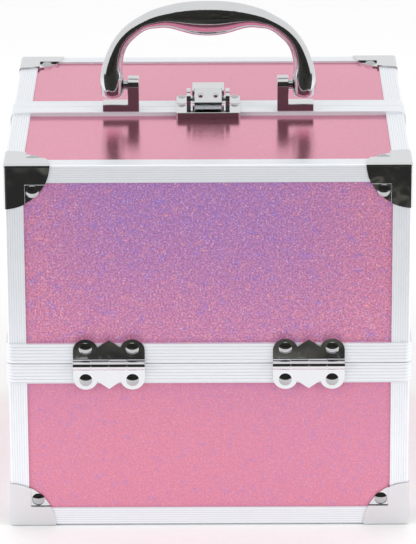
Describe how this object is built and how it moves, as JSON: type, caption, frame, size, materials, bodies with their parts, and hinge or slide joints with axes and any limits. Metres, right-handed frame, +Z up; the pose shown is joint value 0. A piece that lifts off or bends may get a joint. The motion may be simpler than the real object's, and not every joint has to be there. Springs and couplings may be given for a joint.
{
  "type": "makeup train case",
  "caption": "Box-shaped vanity case with twin lids hinged at front and rear, cantilever trays inside, a swing handle and a draw latch across the top seam.",
  "frame": {"origin": "middle of the case in plan, on the surface that it stands on", "axes": "+Z up, -Y towards the front lid's side, X along the seam between the lids"},
  "size_m": [0.2114, 0.217, 0.2605],
  "materials": {
    "panel_film": "fibreboard faced with a pink glitter film",
    "aluminium_trim": "finely ribbed extrusion",
    "tray_plastic": "moulded, smooth",
    "chrome_cap": "polished pressed steel",
    "chrome_cast": "polished casting",
    "chrome_hinge": "polished stamping",
    "steel_strap": "plated strip",
    "chrome_rivet": "polished, domed head"
  },
  "bodies": {
    "base": {"base_arm_studs": "chrome_rivet", "base_bottom_board": "panel_film", "base_bottom_trims": "aluminium_trim", "base_corner_caps": "chrome_cap", "base_corner_trims": "aluminium_trim", "base_front_board": "panel_film", "base_hinge_leaves": "chrome_hinge", "base_rear_board": "panel_film", "base_rim_rail": "aluminium_trim", "base_rivets": "chrome_rivet", "base_side_boards": "panel_film", "hinge_pins": "chrome_rivet"},
    "front_lid": {"front_lid_corner_caps": "chrome_cap", "front_lid_edge_trims": "aluminium_trim", "front_lid_hinge_leaves": "chrome_hinge", "front_lid_link_studs": "chrome_rivet", "front_lid_rim_rail": "aluminium_trim", "front_lid_rivets": "chrome_rivet", "front_lid_seam_rail": "aluminium_trim", "front_lid_side_boards": "panel_film", "front_lid_top_board": "panel_film", "front_lid_wall_board": "panel_film", "handle_brackets": "chrome_cast", "handle_pins": "chrome_rivet", "latch_plate": "chrome_cast", "latch_plate_rivets": "chrome_rivet", "latch_lever_pin": "chrome_rivet"},
    "front_outer_arm": {"front_outer_arms": "steel_strap", "front_link_rivets": "chrome_rivet"},
    "front_inner_arm": {"front_inner_arms": "steel_strap"},
    "front_lower": {"front_lower_tray": "tray_plastic", "front_lower_tray_rivets": "chrome_rivet"},
    "front_upper": {"front_upper_tray": "tray_plastic", "front_upper_tray_rivets": "chrome_rivet"},
    "front_link": {"front_links": "steel_strap"},
    "rear_lid": {"rear_lid_corner_caps": "chrome_cap", "rear_lid_edge_trims": "aluminium_trim", "rear_lid_hinge_leaves": "chrome_hinge", "rear_lid_link_studs": "chrome_rivet", "rear_lid_rim_rail": "aluminium_trim", "rear_lid_rivets": "chrome_rivet", "rear_lid_seam_rail": "aluminium_trim", "rear_lid_side_boards": "panel_film", "rear_lid_top_board": "panel_film", "rear_lid_wall_board": "panel_film", "latch_keeper": "chrome_cast", "latch_keeper_rivets": "chrome_rivet"},
    "rear_outer_arm": {"rear_outer_arms": "steel_strap", "rear_link_rivets": "chrome_rivet"},
    "rear_inner_arm": {"rear_inner_arms": "steel_strap"},
    "rear_lower": {"rear_lower_tray": "tray_plastic", "rear_lower_tray_rivets": "chrome_rivet"},
    "rear_upper": {"rear_upper_tray": "tray_plastic", "rear_upper_tray_rivets": "chrome_rivet"},
    "rear_link": {"rear_links": "steel_strap"},
    "handle": {"handle_bail": "chrome_cast"},
    "lever": {"latch_lever": "chrome_cast", "latch_claw_pin": "chrome_rivet"},
    "claw": {"latch_claw": "chrome_cast"}
  },
  "joints": [
    {"name": "front_lid_hinge", "type": "hinge", "parent": "base", "child": "front_lid", "pos_m": [0, -0.106, 0.0916], "axis": [1, 0, 0], "range_deg": [0, 90]},
    {"name": "front_outer_arm_pivot", "type": "hinge", "parent": "base", "child": "front_outer_arm", "pos_m": [0, -0.083, 0.087], "axis": [1, 0, 0], "range_deg": [0, 90]},
    {"name": "front_inner_arm_pivot", "type": "hinge", "parent": "base", "child": "front_inner_arm", "pos_m": [0, -0.066, 0.087], "axis": [1, 0, 0], "range_deg": [0, 90]},
    {"name": "front_lower_tray_pivot", "type": "hinge", "parent": "front_inner_arm", "child": "front_lower", "pos_m": [0, -0.04472, 0.10904], "axis": [1, 0, 0], "range_deg": [-90, 0]},
    {"name": "front_upper_tray_pivot", "type": "hinge", "parent": "front_inner_arm", "child": "front_upper", "pos_m": [0, -0.01, 0.145], "axis": [1, 0, 0], "range_deg": [-90, 0]},
    {"name": "front_link_pivot", "type": "hinge", "parent": "front_lid", "child": "front_link", "pos_m": [0, -0.07127, 0.12757], "axis": [1, 0, 0], "range_deg": [-90, 0]},
    {"name": "rear_lid_hinge", "type": "hinge", "parent": "base", "child": "rear_lid", "pos_m": [0, 0.106, 0.0916], "axis": [-1, 0, 0], "range_deg": [0, 90]},
    {"name": "rear_outer_arm_pivot", "type": "hinge", "parent": "base", "child": "rear_outer_arm", "pos_m": [0, 0.083, 0.087], "axis": [-1, 0, 0], "range_deg": [0, 90]},
    {"name": "rear_inner_arm_pivot", "type": "hinge", "parent": "base", "child": "rear_inner_arm", "pos_m": [0, 0.066, 0.087], "axis": [-1, 0, 0], "range_deg": [0, 90]},
    {"name": "rear_lower_tray_pivot", "type": "hinge", "parent": "rear_inner_arm", "child": "rear_lower", "pos_m": [0, 0.04472, 0.10904], "axis": [-1, 0, 0], "range_deg": [-90, 0]},
    {"name": "rear_upper_tray_pivot", "type": "hinge", "parent": "rear_inner_arm", "child": "rear_upper", "pos_m": [0, 0.01, 0.145], "axis": [-1, 0, 0], "range_deg": [-90, 0]},
    {"name": "rear_link_pivot", "type": "hinge", "parent": "rear_lid", "child": "rear_link", "pos_m": [0, 0.07127, 0.12757], "axis": [-1, 0, 0], "range_deg": [-90, 0]},
    {"name": "handle_pivot", "type": "hinge", "parent": "front_lid", "child": "handle", "pos_m": [0, -0.0057, 0.2143], "axis": [1, 0, 0], "range_deg": [0, 90]},
    {"name": "latch_lever_pivot", "type": "hinge", "parent": "front_lid", "child": "lever", "pos_m": [0, -0.005, 0.2061], "axis": [-1, 0, 0], "range_deg": [0, 60]},
    {"name": "latch_claw_pivot", "type": "hinge", "parent": "lever", "child": "claw", "pos_m": [0, -0.007, 0.2106], "axis": [-1, 0, 0], "range_deg": [-84, 0]}
  ],
  "couplings": [
    {"joint": "front_outer_arm_pivot", "follows": "front_lid_hinge", "ratio": 1},
    {"joint": "front_inner_arm_pivot", "follows": "front_lid_hinge", "ratio": 1},
    {"joint": "front_lower_tray_pivot", "follows": "front_lid_hinge", "ratio": -1},
    {"joint": "front_upper_tray_pivot", "follows": "front_lid_hinge", "ratio": -1},
    {"joint": "front_link_pivot", "follows": "front_lid_hinge", "ratio": -1},
    {"joint": "rear_outer_arm_pivot", "follows": "rear_lid_hinge", "ratio": 1},
    {"joint": "rear_inner_arm_pivot", "follows": "rear_lid_hinge", "ratio": 1},
    {"joint": "rear_lower_tray_pivot", "follows": "rear_lid_hinge", "ratio": -1},
    {"joint": "rear_upper_tray_pivot", "follows": "rear_lid_hinge", "ratio": -1},
    {"joint": "rear_link_pivot", "follows": "rear_lid_hinge", "ratio": -1},
    {"joint": "latch_claw_pivot", "follows": "latch_lever_pivot", "ratio": -1.4}
  ]
}
